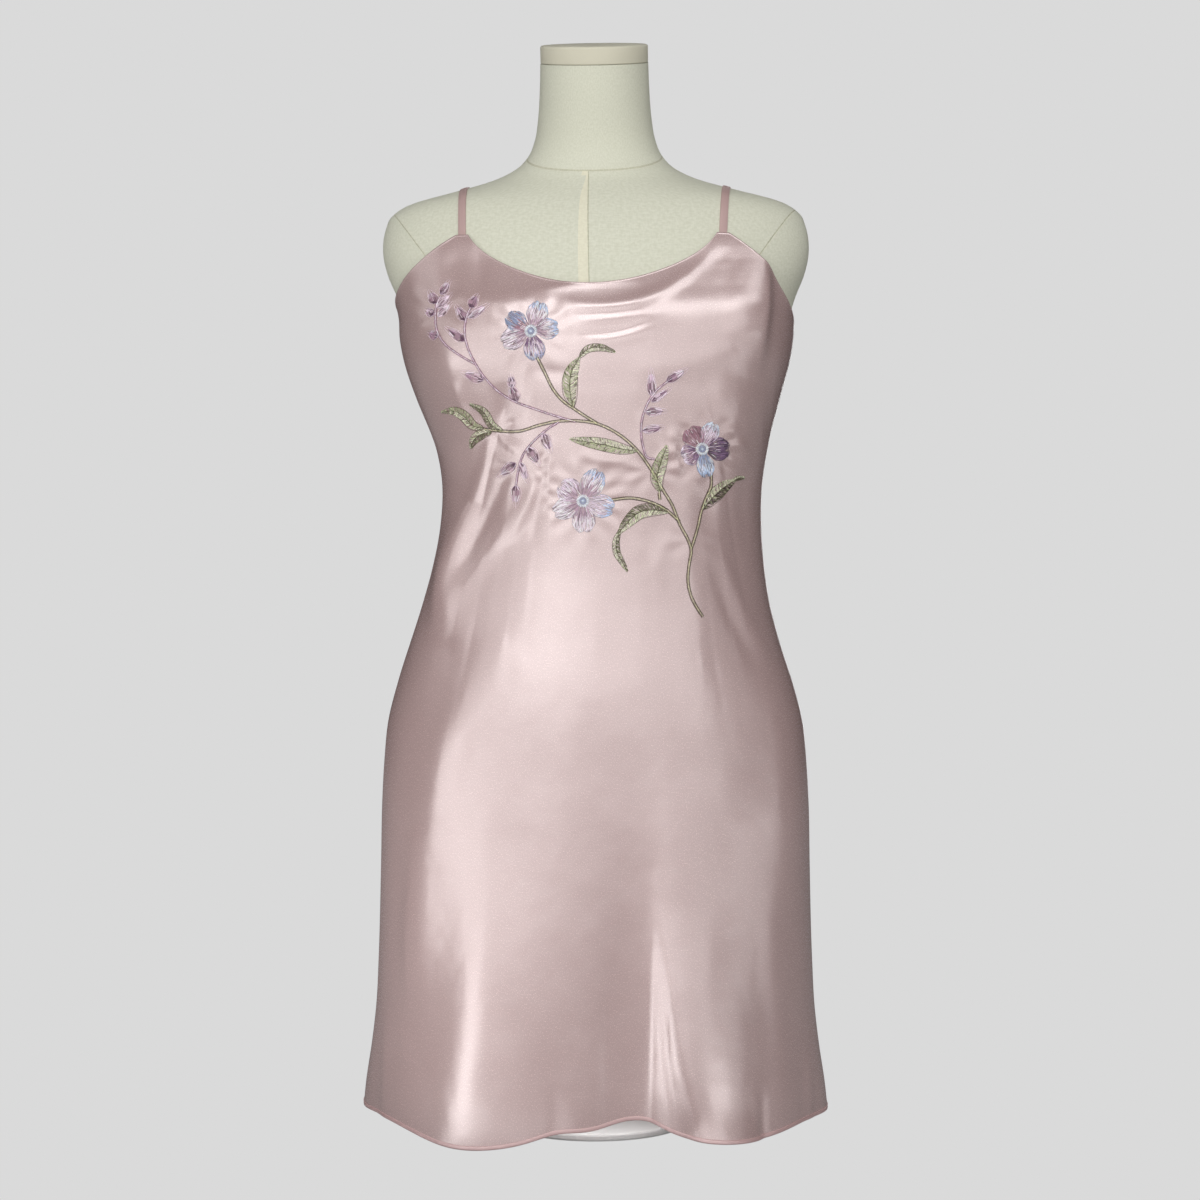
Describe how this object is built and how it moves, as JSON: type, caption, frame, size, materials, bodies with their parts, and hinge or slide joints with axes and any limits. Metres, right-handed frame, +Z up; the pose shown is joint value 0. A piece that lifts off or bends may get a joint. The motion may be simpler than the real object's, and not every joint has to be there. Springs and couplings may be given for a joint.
{
  "type": "slip dress on a limbless dress form",
  "caption": "Short satin slip dress with thin straps, a scooped neckline and a gently waved hem, worn by a linen-covered torso form with a neck cap that stands on a round foot.",
  "frame": {"origin": "centre of the round foot's underside, on the floor", "axes": "+Z up; the dress faces -Y; +X is the wearer's left"},
  "size_m": [0.4436, 0.3115, 1.0423],
  "materials": {
    "satin": "glossy pink charmeuse satin",
    "strap_satin": "folded satin, duller and darker than the panels",
    "linen": "matt cream plain weave",
    "stand_metal": "pale grey powder coat"
  },
  "bodies": {
    "root": {"dress_front": "satin", "dress_back": "satin", "strap_right": "strap_satin", "strap_left": "strap_satin", "form_torso": "linen", "neck_cap": "linen", "stand_pole": "stand_metal", "stand_foot": "stand_metal"}
  },
  "joints": []
}
